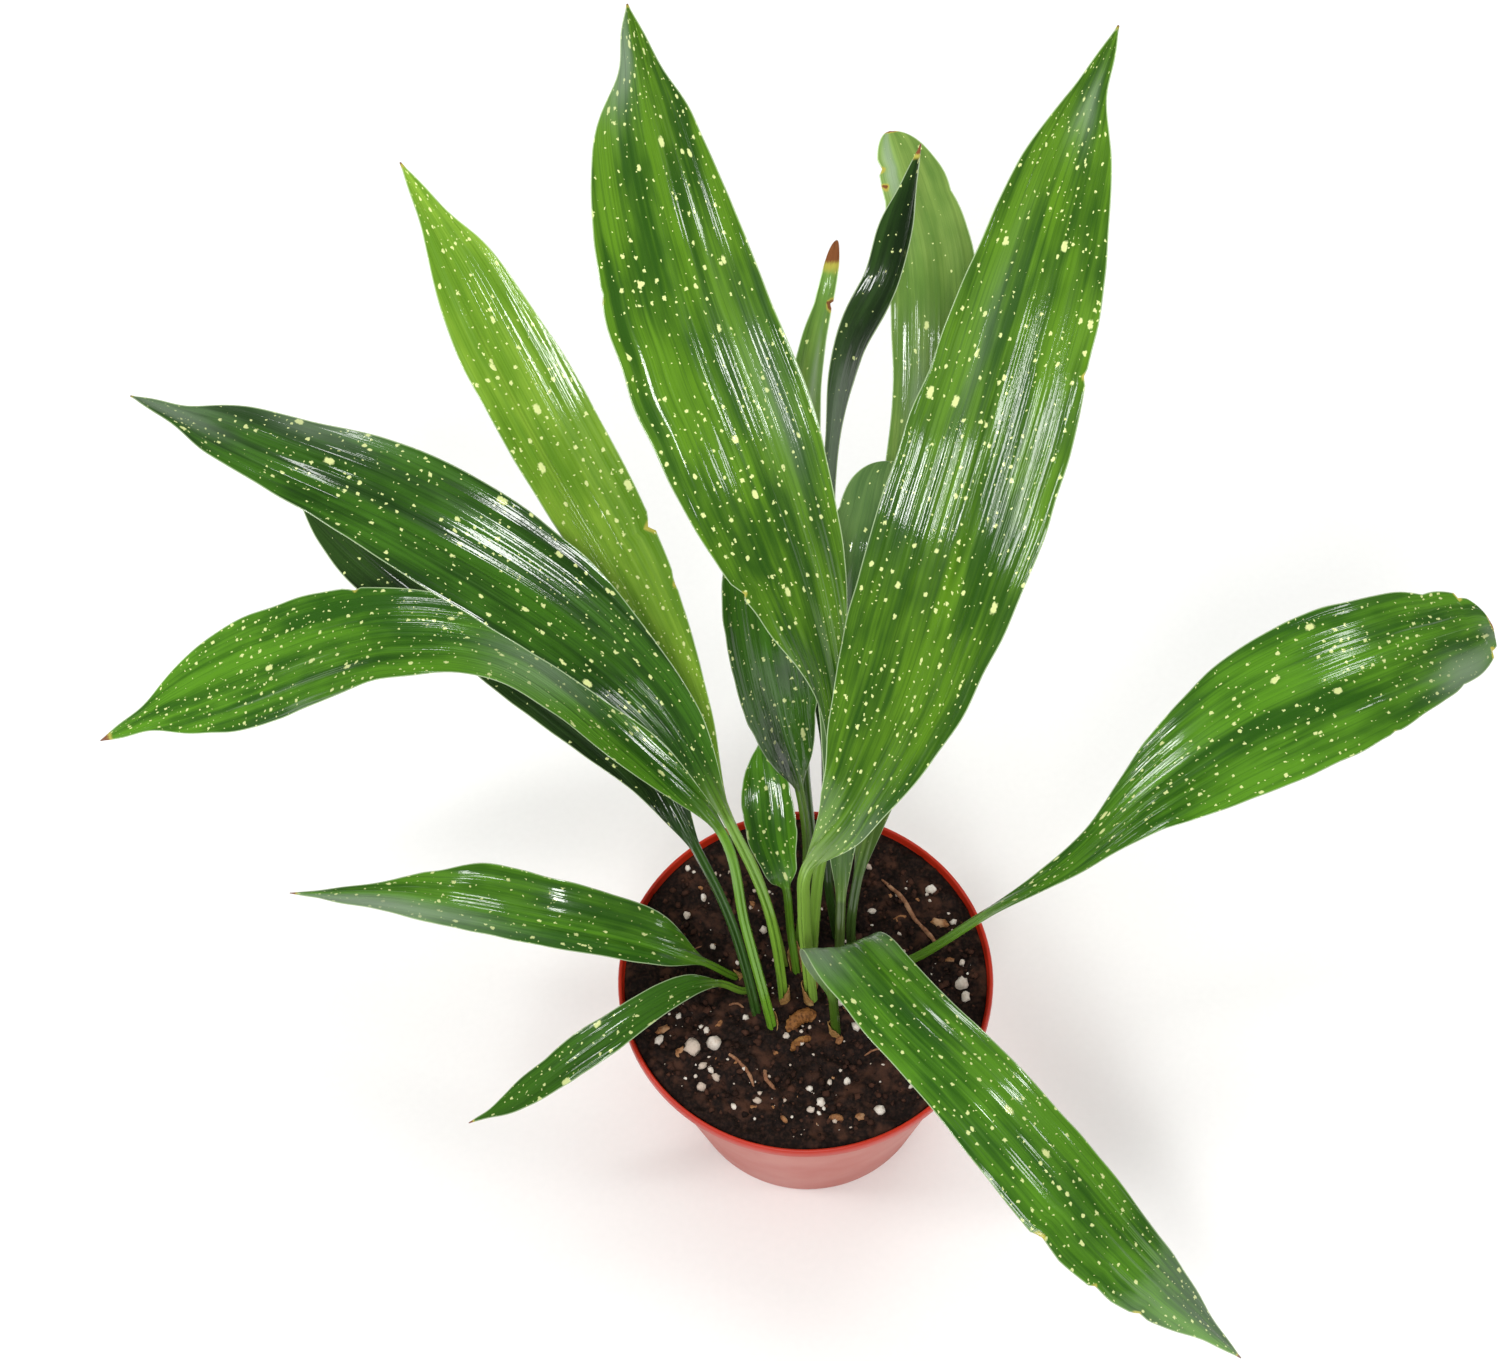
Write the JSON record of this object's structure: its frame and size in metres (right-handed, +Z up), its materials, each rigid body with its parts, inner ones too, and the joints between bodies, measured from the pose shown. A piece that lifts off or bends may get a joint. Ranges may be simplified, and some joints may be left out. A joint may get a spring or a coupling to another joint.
{
  "type": "potted plant",
  "caption": "Cast iron plant with long arching speckled strap leaves on slender stalks, in soil in a round tapered nursery pot.",
  "frame": {"origin": "centre of the pot's flat base, where it stands on a surface", "axes": "+Z up along the pot's axis; the leaves lean towards +Y and the front of the pot faces -Y; +X is to the right seen from the front"},
  "size_m": [0.5688, 0.4096, 0.4104],
  "materials": {
    "pot": "smooth semi-gloss moulded plastic, orange-red",
    "soil": "crumbly moist dark brown potting mix with white perlite grains and bark bits",
    "rootstock": "dry papery tan brown, matte",
    "leaf_green": "glossy mid green leaf with cream specks and fine lengthwise veins",
    "leaf_dark": "glossy dark green leaf with cream specks and fine lengthwise veins",
    "leaf_young": "semi-gloss yellow-green young leaf with cream specks",
    "leaf_pale": "semi-gloss pale grey-green leaf with brown dry edges"
  },
  "bodies": {
    "root": {"pot": "pot", "soil": "soil", "rootstock_large": "rootstock", "rootstock_small": "rootstock", "leaf_left_tall": "leaf_young", "leaf_centre_tall": "leaf_green", "leaf_left_arching": "leaf_dark", "leaf_left_drooping": "leaf_green", "leaf_left_shaded": "leaf_dark", "leaf_right_tall": "leaf_green", "leaf_back_right": "leaf_pale", "leaf_back_narrow": "leaf_dark", "leaf_back_folded": "leaf_pale", "leaf_back_rounded": "leaf_dark", "leaf_inner_centre": "leaf_green", "leaf_inner_curled": "leaf_green", "leaf_front_right": "leaf_green", "leaf_right_blunt": "leaf_green", "leaf_left_short": "leaf_green", "leaf_front_left": "leaf_green"}
  },
  "joints": []
}
